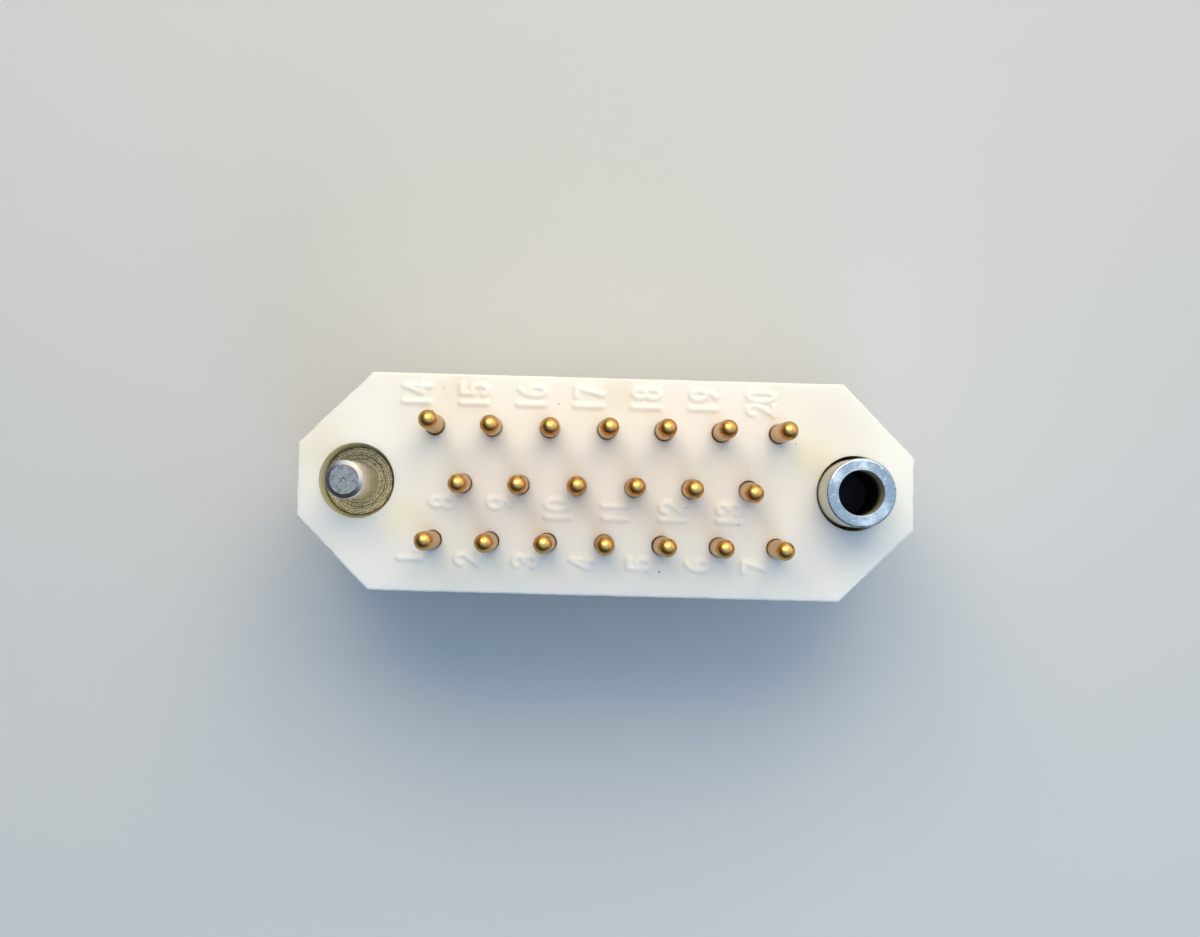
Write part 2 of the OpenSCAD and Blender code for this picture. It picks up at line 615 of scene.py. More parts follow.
@dataclass(frozen=True)
class IvoryMoulding:
    """Finish of the block: pale moulded plastic, a little translucent, with cream and yellowed
    patches and marks, painted shade in the contact holes and painted light on the walls of the
    guide holes.

    Args:
        face_z: Height of the mating face in millimetres.
        guide_axes: Places of the two guide holes in millimetres.
    """

    face_z: float
    guide_axes: tuple[Point, ...]
    ivory: Colour = (0.90, 0.878, 0.83)
    cream: Colour = (0.80, 0.745, 0.60)
    # Bright yellow for the guide hole walls: yellowed plastic and painted light shining through the
    # thin wall.
    aged: Colour = (1.0, 0.93, 0.58)
    dirt: Colour = (0.10, 0.075, 0.05)
    # Dark brown painted shade on the walls of the contact holes.
    gap: Colour = (0.20, 0.09, 0.025)
    # Paler colour for the raised numerals.
    rubbed: Colour = (0.97, 0.965, 0.95)
    yellow: Colour = (0.88, 0.83, 0.60)
    cloud: Patches = Patches(0.22, 0.40, 0.75)
    cloud_share: float = 0.15
    spot_share: float = 0.45
    spot_core: float = 0.2
    rub_share: float = 0.5
    gap_share: float = 0.95
    aged_share: float = 0.9
    mark_share: float = 0.85
    gloss: Patches = Patches(1.3, 0.3, 0.7)
    gloss_range: Point = (0.38, 0.52)
    index: float = 1.5
    haze: float = 0.55
    haze_radius: Colour = (1.0, 0.85, 0.62)
    haze_scale: float = 1.1 * MM
    grain_scale: float = 7.0
    grain_depth: float = 0.01 * MM
    swell_scale: float = 0.55
    swell_depth: float = 0.05 * MM
    bump_share: float = 0.3
    pitch: float = 3.175
    row_gap: float = 3.175
    outer_half: float = 3.5
    hole_r: float = 0.585
    guide_hole_r: float = 2.09
    specks: Spots = (
        (-2.70, 4.52, 0.055),
        (4.48, -1.05, 0.045),
        (7.39, -1.92, 0.05),
        (3.08, -4.63, 0.08),
        (10.48, 2.65, 0.05),
        (-9.68, 3.98, 0.04),
    )
    scratches: tuple[tuple[float, float, float, float], ...] = (
        (-9.09, 5.30, 0.34, 102.0),
        (-9.02, 4.86, 0.13, 95.0),
        (7.86, 1.16, 0.42, 117.0),
        (-14.6, 3.75, 0.5, 38.0),
        (2.7, 5.62, 0.22, 8.0),
    )
    scratch_w: float = 0.028
    scratch_share: float = 0.45
    scratch_breaks: Patches = Patches(6.0, 0.38, 0.58, detail=2.0)
    yellowed: Spots = (
        (-11.3, -2.0, 1.7),
        (11.4, 1.9, 1.8),
    )
    # Cream patches near the top edge and at the left end of the face.
    stains: Spots = (
        (-16.0, 1.6, 2.2),
        (-8.2, 5.0, 2.2),
        (0.6, 5.2, 1.6),
    )

    def material(self) -> bpy.types.Material:
        """Mixes the finish.

        Returns:
            The procedural material.
        """
        recipe = Recipe.of_material("ivory_moulding")
        place = recipe.place()
        across, along, height = recipe.split(place)
        cloud = self.cloud.on(recipe, place) * self.cloud_share
        colour = recipe.mix(cloud, self.ivory, self.cream)
        on_face = recipe.rise(height, self.face_z - 0.3, self.face_z - 0.1)
        for spots, tint in ((self.stains, self.cream), (self.yellowed, self.yellow)):
            for x, y, radius in spots:
                spot = recipe.rise(recipe.reach(place, x, y), radius, self.spot_core)
                colour = recipe.mix(spot * on_face * self.spot_share, colour, tint)
        # The raised numerals are painted paler than the face.
        raised = recipe.rise(height, self.face_z + 0.03, self.face_z + 0.1)
        colour = recipe.mix(raised * self.rub_share, colour, self.rubbed)
        colour = self._round_contacts(recipe, colour, across, along, height)
        colour = self._round_guides(recipe, colour, place, height)
        marks = self._marks(recipe, place, height) * self.mark_share
        colour = recipe.mix(marks, colour, self.dirt)
        grain = recipe.noise(place, self.grain_scale, 3.0, 0.6)
        fine = recipe.bump(grain, self.bump_share, self.grain_depth)
        swell = recipe.noise(place, self.swell_scale)
        return recipe.surface({
            "Base Color": colour,
            "Roughness": self.gloss.on(recipe, place, *self.gloss_range),
            "IOR": self.index,
            "Subsurface Weight": self.haze,
            "Subsurface Radius": self.haze_radius,
            "Subsurface Scale": self.haze_scale,
            "Normal": recipe.bump(swell, self.bump_share, self.swell_depth, fine),
        })

    def _round_contacts(self, recipe: Recipe, colour: Wire, across: Wire, along: Wire,
                        height: Wire) -> Wire:
        """Paints shade on the walls of the contact holes.

        Args:
            recipe: The material's recipe.
            colour: Colour so far.
            across: Place along X in millimetres.
            along: Place along Y in millimetres.
            height: Place along Z in millimetres.

        Returns:
            The new colour.
        """
        row = recipe.node("ShaderNodeMath", {"operation": "ROUND"}, {0: along / self.row_gap})
        row = (row & 1.0) | -1.0
        offset = (1.0 - abs(row)) * (self.pitch / 2)
        ends = {0: across - offset, 1: self.pitch / 2, 2: -self.pitch / 2}
        side = recipe.node("ShaderNodeMath", {"operation": "WRAP"}, ends)
        up = along - row * self.row_gap
        limit = self.outer_half * self.pitch
        inside = recipe.rise(abs(across) + offset, limit + 0.05, limit - 0.05)
        reach = recipe.length(recipe.node("ShaderNodeCombineXYZ", None, {0: side, 1: up}))
        wall = recipe.rise(reach, self.hole_r + 0.018, self.hole_r + 0.004) * inside
        deep = recipe.rise(height, self.face_z - 0.004, self.face_z - 0.05)
        # The hole walls below the face take the painted shade.
        return recipe.mix(wall * deep * self.gap_share, colour, self.gap)

    def _round_guides(self, recipe: Recipe, colour: Wire, place: Wire, height: Wire) -> Wire:
        """Paints the walls of the guide holes a bright yellow: partly yellowed plastic, partly
        painted light for the light that comes through their thin walls.

        Args:
            recipe: The material's recipe.
            colour: Colour so far.
            place: Place in millimetres.
            height: Place along Z in millimetres.

        Returns:
            The new colour.
        """
        for axis in self.guide_axes:
            reach = recipe.reach(place, *axis)
            wall = recipe.rise(reach, self.guide_hole_r + 0.3, self.guide_hole_r)
            deep = recipe.rise(height, self.face_z - 0.1, self.face_z - 1.5)
            # The guide hole walls take the bright yellow: yellowed plastic and painted light.
            colour = recipe.mix(wall * deep * self.aged_share, colour, self.aged)
        return colour

    def _marks(self, recipe: Recipe, place: Wire, height: Wire) -> Wire:
        """Draws the specks and scratches on the mating face.

        Args:
            recipe: The material's recipe.
            place: Place in millimetres.
            height: Place along Z in millimetres.

        Returns:
            The mask of the marks.
        """
        marks = 0.0
        for x, y, radius in self.specks:
            marks = recipe.rise(recipe.reach(place, x, y), radius, radius * 0.4) | marks
        for x, y, half, turn in self.scratches:
            along = recipe.turned(recipe.centred(place, x, y), turn)
            stretch = recipe.centred(along, 0.0, 0.0, (1.0 / half, 1.0 / self.scratch_w, 1.0))
            line = recipe.rise(recipe.length(recipe.flat(stretch)), 1.0, 0.35)
            marks = line * self.scratch_breaks.on(recipe, place) * self.scratch_share | marks
        return marks * recipe.rise(height, self.face_z - 0.2, self.face_z - 0.1)


@dataclass(frozen=True)
class GoldPlate:
    """Finish of the contacts: gold plate over turned brass, a little worn, with a brown ring below
    the tips that is partly browned plate and partly a painted dark reflection.

    Args:
        nose_z: Height of the noses in millimetres.
    """

    nose_z: float
    bright: Colour = (0.95, 0.52, 0.14)
    worn: Colour = (0.80, 0.39, 0.09)
    # Brown for the ring below the tips: browned plate and a painted dark reflection.
    browned: Colour = (0.52, 0.27, 0.08)
    rim: Colour = (0.50, 0.52, 0.42)
    blotch: Patches = Patches(1.6, 0.42, 0.72)
    blotch_share: float = 0.7
    ring_share: float = 0.5
    line_stretch: Triple = (1.5, 1.5, 26.0)
    line_depth: float = 0.005 * MM
    line_share: float = 0.3
    fine_scale: float = 9.0
    gloss_range: Point = (0.30, 0.36)
    lacquer: float = 0.35
    lacquer_rough: float = 0.22
    lacquer_index: float = 1.8

    def material(self) -> bpy.types.Material:
        """Mixes the finish.

        Returns:
            The procedural material.
        """
        recipe = Recipe.of_material("gold_plate")
        place = recipe.place()
        _, _, height = recipe.split(place)
        blotch = self.blotch.on(recipe, place) * self.blotch_share
        lines = recipe.noise(recipe.centred(place, 0.0, 0.0, self.line_stretch), 1.0)
        fine = recipe.noise(place, self.fine_scale)
        rough = recipe.rise(fine * 0.5 + lines * 0.5, 0.35, 0.65, *self.gloss_range)
        colour = recipe.mix(blotch, self.bright, self.worn)
        # Brown ring below the tips: partly browned plate, partly a painted dark reflection.
        ring = recipe.rise(height, self.nose_z - 0.10, self.nose_z - 0.31)
        ring = ring * recipe.rise(height, self.nose_z - 0.75, self.nose_z - 0.4)
        colour = recipe.mix(ring * self.ring_share, colour, self.browned)
        return recipe.surface({
            "Base Color": colour,
            "Metallic": 1.0,
            "Roughness": rough,
            "Specular Tint": self.rim,
            "Coat Weight": self.lacquer,
            "Coat Roughness": self.lacquer_rough,
            "Coat IOR": self.lacquer_index,
            "Normal": recipe.bump(lines, self.line_share, self.line_depth),
        })


@dataclass(frozen=True)
class RingMarks:
    """Uneven turning marks about an axis.

    Args:
        spacing: Distance between marks in millimetres.
        waver: How far a mark strays from its circle, in millimetres.
        pace: How often it strays, in times to a millimetre.
    """

    spacing: float
    waver: float
    pace: float

    def on(self, recipe: Recipe, local: Wire, reach: Wire) -> Wire:
        """Draws the marks.

        Args:
            recipe: The material's recipe.
            local: Place as seen from the axis.
            reach: Distance from the axis.

        Returns:
            The marks, from 0 to 1.
        """
        stray = recipe.noise(local, self.pace, 3.0, 0.6) * self.waver
        return recipe.node(
            "ShaderNodeTexNoise", {"noise_dimensions": "1D"},
            {"W": reach + stray, "Scale": 1.0 / self.spacing, "Detail": 1.5}, "Fac",
        )


@dataclass(frozen=True)
class TurnedMetal:
    """Finish that both guides share: dull turned metal, mottled, with ring marks about its axis.

    Args:
        axis: Place of the guide's axis in millimetres.
    """

    axis: Point
    bare: Colour = (0.45, 0.42, 0.40)
    dull: Colour = (0.21, 0.20, 0.19)
    # side: tan that stands for the ivory block mirrored in a guide's side, a painted reflection.
    side: Colour = (0.83, 0.75, 0.65)
    blotch: Patches = Patches(4.2, 0.36, 0.68, detail=4.0, rough=0.65)
    blotch_share: float = 0.85
    bump_share: float = 0.35

    def start(self, name: str) -> tuple[Recipe, Wire, Wire, Wire]:
        """Starts the finish.

        Args:
            name: Name of the material.

        Returns:
            The recipe, and the place, distance and height as seen from the axis, in millimetres.
        """
        recipe = Recipe.of_material(name)
        local = recipe.centred(recipe.place(), *self.axis)
        return recipe, local, recipe.length(recipe.flat(local)), recipe.split(local)[2]

    def mottled(self, recipe: Recipe, local: Wire) -> Wire:
        """Returns the blotched colour of the bare metal."""
        blotch = self.blotch.on(recipe, local) * self.blotch_share
        return recipe.mix(blotch, self.bare, self.dull)


@dataclass(frozen=True)
class GuidePinMetal(TurnedMetal):
    """Finish of the guide pin: blue-grey tip, drawn sides painted tan as a painted reflection of
    the block, and a coarsely faced collar painted dark in its grooves and light on its crests, as
    painted shade and light.

    Args:
        collar_z: Height of the collar in millimetres.
        tip_z: Height of the tip in millimetres.
    """

    collar_z: float = 8.4
    tip_z: float = 15.8
    flat_r: float = 0.77
    edge: Colour = (0.80, 0.77, 0.73)
    # groove and crest: painted shade in the collar's grooves and painted light on its crests.
    groove: Colour = (0.14, 0.11, 0.05)
    crest: Colour = (1.0, 0.94, 0.75)
    coarse: RingMarks = RingMarks(0.06, 0.20, 5.5)
    coarse_share: float = 0.8
    coarse_depth: float = 0.05 * MM
    fine: RingMarks = RingMarks(0.05, 0.04, 2.6)
    fine_depth: float = 0.008 * MM
    pit_scale: float = 11.0
    gloss_range: Point = (0.24, 0.36)
    faced_rough: float = 0.22
    side_film: float = 0.4

    def material(self) -> bpy.types.Material:
        """Mixes the finish.

        Returns:
            The procedural material.
        """
        recipe, local, reach, height = self.start("guide_pin_metal")
        coarse = self.coarse.on(recipe, local, reach)
        fine = self.fine.on(recipe, local, reach)
        pits = recipe.noise(local, self.pit_scale, 3.0, 0.65)
        faced = recipe.rise(height, self.collar_z + 0.12, self.collar_z + 0.03)
        sloped = recipe.rise(reach, self.flat_r, self.flat_r + 0.02)
        colour = recipe.mix(sloped, self.mottled(recipe, local), self.edge)
        # The pin's sides take the painted reflection of the block and are made less metallic so
        # that it shows.
        below = recipe.rise(height, self.tip_z - 0.2, self.tip_z - 0.45)
        colour = recipe.mix(below, colour, self.side)
        # Painted shade in the grooves and painted light on the crests of the collar's rings.
        ridge = recipe.rise(coarse * 0.6 + pits * 0.4, 0.38, 0.60)
        colour = recipe.mix(faced, colour, recipe.mix(ridge, self.groove, self.crest))
        rough = recipe.rise(fine * 0.5 + pits * 0.5, 0.3, 0.7, *self.gloss_range)
        low = recipe.bump(fine * (1.0 - faced) + pits * 0.5, self.bump_share, self.fine_depth)
        return recipe.surface({
            "Base Color": colour,
            "Metallic": 1.0 - below * self.side_film,
            "Roughness": rough + faced * self.faced_rough,
            "Normal": recipe.bump(coarse * faced, self.coarse_share, self.coarse_depth, low),
        })


@dataclass(frozen=True)
class GuideSocketMetal(TurnedMetal):
    """Finish of the guide socket: blue-grey with turning marks on its rim, and a bore painted light
    near its mouth and dark deeper down, as painted light and shade.

    Args:
        rim_z: Height of the rim in millimetres.
        bore_r: Radius of the bore in millimetres.
    """

    rim_z: float = 15.25
    bore_r: float = 1.22
    bare: Colour = (0.52, 0.61, 0.71)
    dull: Colour = (0.30, 0.36, 0.43)
    # side: the socket's painted reflection of the block on its outer side.
    side: Colour = (0.56, 0.55, 0.45)
    # inside: painted light on the bore's wall near its mouth; floor: painted shade deeper in the
    # bore.
    inside: Colour = (0.50, 0.47, 0.37)
    floor: Colour = (0.026, 0.020, 0.019)
    # Dark spots standing for the shade in small nicks in the rim: painted shade.
    nick: Colour = (0.08, 0.09, 0.11)
    nicks: Spots = (
        (0.06, -1.80, 0.09),
        (1.80, 0.28, 0.07),
    )
    # Bright bluish patches on the rim: partly scuffed metal, partly painted reflection.
    scuffed: Colour = (0.86, 0.93, 1.0)
    polished: Spots = (
        (-1.40, 0.85, 0.7),
        (0.45, -1.55, 0.9),
        (1.25, -0.95, 0.7),
        (0.06, 1.57, 0.8),
    )
    turning: RingMarks = RingMarks(0.08, 0.04, 2.0)
    turning_share: float = 0.9
    turning_bump: float = 0.5
    scuff_share: float = 0.8
    nick_share: float = 0.7
    side_share: float = 0.8
    pit_scale: float = 9.0
    wear_scale: float = 2.4
    mark_depth: float = 0.014 * MM
    gloss_range: Point = (0.26, 0.46)
    bore_rough: float = 0.1
    bore_film: float = 0.7

    def material(self) -> bpy.types.Material:
        """Mixes the finish.

        Returns:
            The procedural material.
        """
        recipe, local, reach, height = self.start("guide_socket_metal")
        marks = self.turning.on(recipe, local, reach)
        pits = recipe.noise(local, self.pit_scale, 4.0, 0.65)
        worn = recipe.noise(local, self.wear_scale, 4.0, 0.7)
        # Scuffed patches and the listed spots: partly scuffed metal, partly painted reflection.
        scuffs_and_glints = recipe.rise(worn, 0.58, 0.68)
        for x, y, radius in self.polished:
            spot = recipe.rise(recipe.reach(local, x, y), radius, 0.1)
            scuffs_and_glints = scuffs_and_glints | spot * recipe.rise(worn + marks * 0.3, 0.48, 0.74)
        on_rim = recipe.rise(height, self.rim_z - 0.12, self.rim_z - 0.03)
        turned = recipe.rise(marks, 0.42, 0.58) * on_rim * self.turning_share
        colour = recipe.mix(turned, self.mottled(recipe, local), self.dull)
        colour = recipe.mix(scuffs_and_glints * on_rim * self.scuff_share, colour, self.scuffed)
        # Painted shade of the nicks.
        for x, y, radius in self.nicks:
            spot = recipe.rise(recipe.reach(local, x, y), radius, radius * 0.3)
            colour = recipe.mix(spot * self.nick_share, colour, self.nick)
        # The socket's outer side takes the painted reflection of the block.
        colour = recipe.mix((1.0 - on_rim) * self.side_share, colour, self.side)
        # The bore is painted light near its mouth and dark deeper down: painted light and shade.
        bored = recipe.rise(reach, self.bore_r + 0.03, self.bore_r + 0.01) * (1.0 - on_rim)
        lit_near_mouth = recipe.rise(height, self.rim_z - 2.8, self.rim_z - 0.8)
        colour = recipe.mix(bored, colour, recipe.mix(lit_near_mouth, self.floor, self.inside))
        rough = recipe.rise(marks * 0.5 + pits * 0.5, 0.3, 0.7, *self.gloss_range)
        low = recipe.bump(pits, self.bump_share, self.mark_depth)
        return recipe.surface({
            "Base Color": colour,
            "Metallic": 1.0 - bored * self.bore_film,
            "Roughness": rough + bored * self.bore_rough,
            "Normal": recipe.bump(marks, self.turning_bump, self.mark_depth, low),
        })


@dataclass
class Insulator:
    """The moulded block with its numerals, drilled for the contacts and the guides."""

    corner_cut: float = 4.05 * MM
    edge_round: float = 0.12 * MM
    edge_steps: int = 3
    edge_cuts: int = 70
    edge_waver: float = 0.075 * MM
    edge_scale: float = 1500.0
    side_pull: float = 4.0
    band: float = 0.45 * MM
    pin_hole_r: float = 0.532 * MM
    mouth: float = 0.01 * MM
    cavity_r: float = 0.82 * MM
    front_wall: float = 4.2 * MM
    guide_hole_r: float = 2.09 * MM
    wall_hole_r: float = 1.5 * MM
    recess_r: float = 2.4 * MM
    recess_h: float = 0.65 * MM
    seat_z: float = 3.6 * MM
    snug_r: float = 1.94 * MM
    ledge_z: float = 8.15 * MM
    overshoot: float = 1.0 * MM
    hole_sides: int = 48
    guide_sides: int = 96

    def __post_init__(self) -> None:
        """Takes the block's corners from the frame."""
        self.low, self.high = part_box("insulator")

    def build(self, contacts: Sequence[Vector], guides: Sequence[Vector], collar: Vector,
              numerals: Piece) -> Piece:
        """Models the block.

        Args:
            contacts: Places of the contact holes.
            guides: Places of the guide pin's and the guide socket's hole.
            collar: Place of the guide pin's collar, which its hole is snug round.
            numerals: The ridges that are moulded on the mating face.

        Returns:
            The finished block.
        """
        block = self._block()
        Bench.combine(block, numerals, "UNION")
        snug = [Ring(self.snug_r, self.seat_z), Ring(self.snug_r, self.ledge_z + self.mouth)]
        for profile, sides, places in (
            (self._contact_hole(), self.hole_sides, contacts),
            (self._guide_hole(self.ledge_z), self.guide_sides, guides[:1]),
            (self._guide_hole(self.seat_z), self.guide_sides, guides[1:]),
            (snug, self.guide_sides, [collar]),
        ):
            Bench.combine(block, self._drill("drill", profile, sides, places), "DIFFERENCE")
        Bench.settle_normals(block)
        return block

    def _block(self) -> Piece:
        """Models the plain block, with cut corners and rounded, slightly uneven rims.

        Returns:
            The block.
        """
        Bench.clear()
        bpy.ops.mesh.primitive_cube_add(size=1.0, enter_editmode=True)
        block = bpy.context.object
        block.name = block.data.name = "moulded_block"
        bpy.ops.transform.resize(value=self.high - self.low)
        bpy.ops.transform.translate(value=(self.high + self.low) / 2)
        Bench.pick(Element.EDGES, self._upright)
        bpy.ops.mesh.bevel(offset=self.corner_cut, offset_type="OFFSET", segments=1, affect="EDGES")
        Bench.pick(Element.EDGES, lambda edge: not self._upright(edge))
        bpy.ops.mesh.bevel(
            offset=self.edge_round, offset_type="OFFSET", segments=self.edge_steps, affect="EDGES"
        )
        Bench.pick(Element.FACES, self._upright)
        bpy.ops.mesh.inset(thickness=self.band, use_individual=True)
        self._roughen_rims(block)
        bpy.ops.object.mode_set(mode="OBJECT")
        return block

    def _roughen_rims(self, block: Piece) -> None:
        """Gives the rims of the block in edit mode the small waves of a trimmed moulding.

        Args:
            block: The block.
        """
        Bench.pick(Element.EDGES, self._on_rim)
        bpy.ops.mesh.subdivide(number_cuts=self.edge_cuts)
        shape = bmesh.from_edit_mesh(block.data)
        middle_z = (self.low.z + self.high.z) / 2
        for vert in filter(self._near_rim, shape.verts):
            inner = Vector((vert.co.x, vert.co.y, middle_z)) - vert.co
            inner.z = math.copysign(self.edge_round, inner.z)
            away = Vector((-vert.co.x, -self.side_pull * vert.co.y, 0.0)).normalized()
            dent = abs(noise.noise(vert.co * self.edge_scale))
            vert.co += (inner + away * self.edge_round).normalized() * dent * self.edge_waver
        bmesh.update_edit_mesh(block.data)

    def _upright(self, item: bmesh.types.BMEdge | bmesh.types.BMFace) -> bool:
        """Returns whether an edge or a face runs up a side of the block."""
        heights = [vert.co.z for vert in item.verts]
        return max(heights) - min(heights) > self.seat_z

    def _on_rim(self, edge: bmesh.types.BMEdge) -> bool:
        """Says whether an edge runs along a rim of the block.

        Args:
            edge: The edge.

        Returns:
            Whether it does.
        """
        first, last = edge.verts
        flat = abs(first.co.z - last.co.z) < self.edge_round / 10
        return flat and self._near_rim(first) and edge.calc_length() > self.edge_round * 4

    def _near_rim(self, vert: bmesh.types.BMVert) -> bool:
        """Returns whether a vertex lies on a rounded rim of the block."""
        return min(self.high.z - vert.co.z, vert.co.z - self.low.z) < 1.5 * self.edge_round

    def _contact_hole(self) -> list[Ring]:
        """Returns the profile of the drill for a contact."""
        wall = self.high.z - self.front_wall
        return [
            Ring(self.cavity_r, self.low.z - self.overshoot),
            Ring(self.cavity_r, wall),
            Ring(self.pin_hole_r, wall),
            Ring(self.pin_hole_r, self.high.z - self.mouth),
            Ring(self.pin_hole_r + self.mouth, self.high.z),
            Ring(self.pin_hole_r + self.mouth, self.high.z + self.overshoot),
        ]

    def _guide_hole(self, floor_z: float) -> list[Ring]:
        """Returns the profile of the drill for a guide, whose wide part starts at a height."""
        return [
            Ring(self.recess_r, self.low.z - self.overshoot),
            Ring(self.recess_r, self.low.z + self.recess_h),
            Ring(self.wall_hole_r, self.low.z + self.recess_h),
            Ring(self.wall_hole_r, floor_z),
            Ring(self.guide_hole_r, floor_z),
            Ring(self.guide_hole_r, self.high.z - self.mouth),
            Ring(self.guide_hole_r + self.mouth, self.high.z),
            Ring(self.guide_hole_r + self.mouth, self.high.z + self.overshoot),
        ]

    @staticmethod
    def _drill(name: str, profile: Sequence[Ring], sides: int, places: Sequence[Vector]) -> Piece:
        """Models one cutter that holds a copy of a drill at each place.

        Args:
            name: Name of the cutter.
            profile: Rings of the drill.
            sides: Number of sides.
            places: Where the drill goes in.

        Returns:
            The cutter.
        """
        first = Bench.turn(name, profile, sides)
        copies = [Bench.copy(first, name, place) for place in places]
        bpy.data.objects.remove(first)
        return Bench.join(copies, name)


def bow(centre: Point, reach: Point, start: float, end: float) -> list[Point]:
    """Samples a bow of a numeral.

    Args:
        centre: Centre of the ellipse, in shares of the numeral's width and height.
        reach: Half width and half height of the ellipse, in the same shares.
        start: First angle in degrees.
        end: Last angle in degrees.

    Returns:
        The points along the bow.
    """
    step_deg = 20.0
    count = max(2, round(abs(end - start) / step_deg))
    angles = [math.radians(start + (end - start) * i / count) for i in range(count + 1)]
    return [
        (centre[0] + reach[0] * math.cos(angle), centre[1] + reach[1] * math.sin(angle))
        for angle in angles
    ]


SIX = [bow((1.0, 0.3), (1.0, 0.7), 110, 180) + bow((0.5, 0.29), (0.5, 0.29), 180, -160)]
DIGITS: dict[str, list[list[Point]]] = {
    "0": [bow((0.5, 0.5), (0.5, 0.5), 90, 450)],
    "1": [[(0.5, 0.0), (0.5, 1.0)]],
    "2": [bow((0.5, 0.72), (0.5, 0.28), 165, -35) + [(0.0, 0.0), (1.0, 0.0)]],
    "3": [bow((0.45, 0.76), (0.5, 0.24), 150, -80) + bow((0.45, 0.27), (0.55, 0.27), 80, -150)],
    "4": [[(0.75, 0.0), (0.75, 1.0), (0.0, 0.32), (1.05, 0.32)]],
    "5": [[(0.95, 1.0), (0.1, 1.0), (0.05, 0.56)] + bow((0.45, 0.31), (0.55, 0.31), 120, -150)],
    "6": SIX,
    "7": [[(0.0, 1.0), (1.0, 1.0), (0.3, 0.0)]],
    "8": [bow((0.5, 0.76), (0.42, 0.24), -90, 270), bow((0.5, 0.27), (0.5, 0.27), 90, 450)],
    "9": [[(1.0 - u, 1.0 - v) for u, v in stroke] for stroke in SIX],
}


@dataclass(frozen=True)
class NumberRow:
    """A row of numerals beside a row of contacts.

    Args:
        last: Number of the row's last contact.
        first_digit: Centre of a numeral's first digit as seen from its contact.
        last_digit: Centre of its last digit.
        size: Width and height of a digit.
    """

    last: int
    first_digit: Point
    last_digit: Point
    size: Point

    def centres(self, digits: int) -> list[Point]:
        """Returns the centres of a numeral's digits."""
        return [self.first_digit, self.last_digit][2 - digits:]


@dataclass
class Numerals:
    """Soft raised position numerals beside the contacts, with their tops towards the guide pin."""

    rows: tuple[NumberRow, ...] = (
        NumberRow(7, (-1.2, -1.72), (-1.2, -1.04), (0.54, 1.24)),
        NumberRow(13, (-1.0, -1.75), (-1.06, -1.05), (0.54, 1.27)),
        NumberRow(20, (-1.05, 1.29), (-1.03, 2.03), (0.48, 1.42)),
    )
    stroke_w: float = 0.29
    relief: float = 0.11
    sink: float = 0.012
    root: float = 0.3
    cell: float = 0.05
    margin: float = 0.3

    def build(self, contacts: Sequence[Vector], face_z: float) -> Piece:
        """Models all the numerals.

        Args:
            contacts: Places of the contacts, in the order of their numbers.
            face_z: Height of the mating face.

        Returns:
            The numerals as one closed piece, rooted below the face.
        """
        plates = []
        for number, place in enumerate(contacts, 1):
            row = next(row for row in self.rows if number <= row.last)
            strokes = self._strokes(str(number), row, place / MM)
            plates.append(self._plate(strokes, face_z / MM))
        return Bench.join(plates, "numerals")

    @staticmethod
    def _strokes(text: str, row: NumberRow, place: Vector) -> list[list[Vector]]:
        """Lays out the strokes of one numeral.

        Args:
            text: Its digits.
            row: Its row.
            place: Place of its contact in millimetres.

        Returns:
            The strokes as points on the mating face, in millimetres.
        """
        laid = []
        for digit, centre in zip(text, row.centres(len(text))):
            origin = Vector((place.x + centre[0], place.y + centre[1], 0.0))
            for stroke in DIGITS[digit]:
                laid.append([
                    origin + Vector(((0.5 - v) * row.size[1], (u - 0.5) * row.size[0], 0.0))
                    for u, v in stroke
                ])
        return laid

    def _plate(self, strokes: Sequence[Sequence[Vector]], face_z: float) -> Piece:
        """Models one numeral as a plate whose top swells along its strokes.

        Args:
            strokes: The strokes in millimetres.
            face_z: Height of the mating face in millimetres.

        Returns:
            The plate.
        """
        points = [point for stroke in strokes for point in stroke]
        margin = Vector((self.margin, self.margin, 0.0))
        low = Vector((min(p.x for p in points), min(p.y for p in points), 0.0)) - margin
        high = Vector((max(p.x for p in points), max(p.y for p in points), 0.0)) + margin
        size = high - low
        Bench.clear()
        bpy.ops.mesh.primitive_grid_add(
            x_subdivisions=round(size.x / self.cell), y_subdivisions=round(size.y / self.cell),
            size=1.0, enter_editmode=True,
        )
        bpy.ops.transform.resize(value=(size.x * MM, size.y * MM, 1.0))
        middle = (low + high) / 2 + Vector((0.0, 0.0, face_z - self.root))
        bpy.ops.transform.translate(value=middle * MM)
        bpy.ops.mesh.extrude_region_move(
            TRANSFORM_OT_translate={"value": (0.0, 0.0, (self.root - self.sink) * MM)}
        )
        plate = bpy.context.object
        shape = bmesh.from_edit_mesh(plate.data)
        for vert in shape.verts:
            if vert.select:
                vert.co.z += self._ridge(vert.co / MM, strokes) * MM
        bmesh.update_edit_mesh(plate.data)
        bottom = (face_z - self.root / 2) * MM
        Bench.pick(Element.FACES, lambda f: all(v.co.z < bottom for v in f.verts))
        bpy.ops.mesh.dissolve_faces()
        bpy.ops.mesh.select_all(action="SELECT")
        bpy.ops.mesh.normals_make_consistent(inside=False)
        bpy.ops.object.mode_set(mode="OBJECT")
        Bench.move(plate, Vector())
        return plate

    def _ridge(self, place: Vector, strokes: Sequence[Sequence[Vector]]) -> float:
        """Measures the ridges at a place.

        Args:
            place: The place in millimetres.
            strokes: The strokes that the ridges follow.

        Returns:
            Their height in millimetres.
        """
        flat = Vector((place.x, place.y, 0.0))
        reach = min(self._reach(flat, a, b) for stroke in strokes for a, b in pairwise(stroke))
        return self.relief * (1.0 + math.cos(math.pi * min(1.0, reach / self.stroke_w))) / 2

    @staticmethod
    def _reach(place: Vector, start: Vector, end: Vector) -> float:
        """Measures the distance of a place from a straight stretch.

        Args:
            place: The place.
            start: Start of the stretch.
            end: End of the stretch.

        Returns:
            The distance.
        """
        span = end - start
        share = max(0.0, min(1.0, (place - start).dot(span) / span.length_squared))
        return (place - start - span * share).length


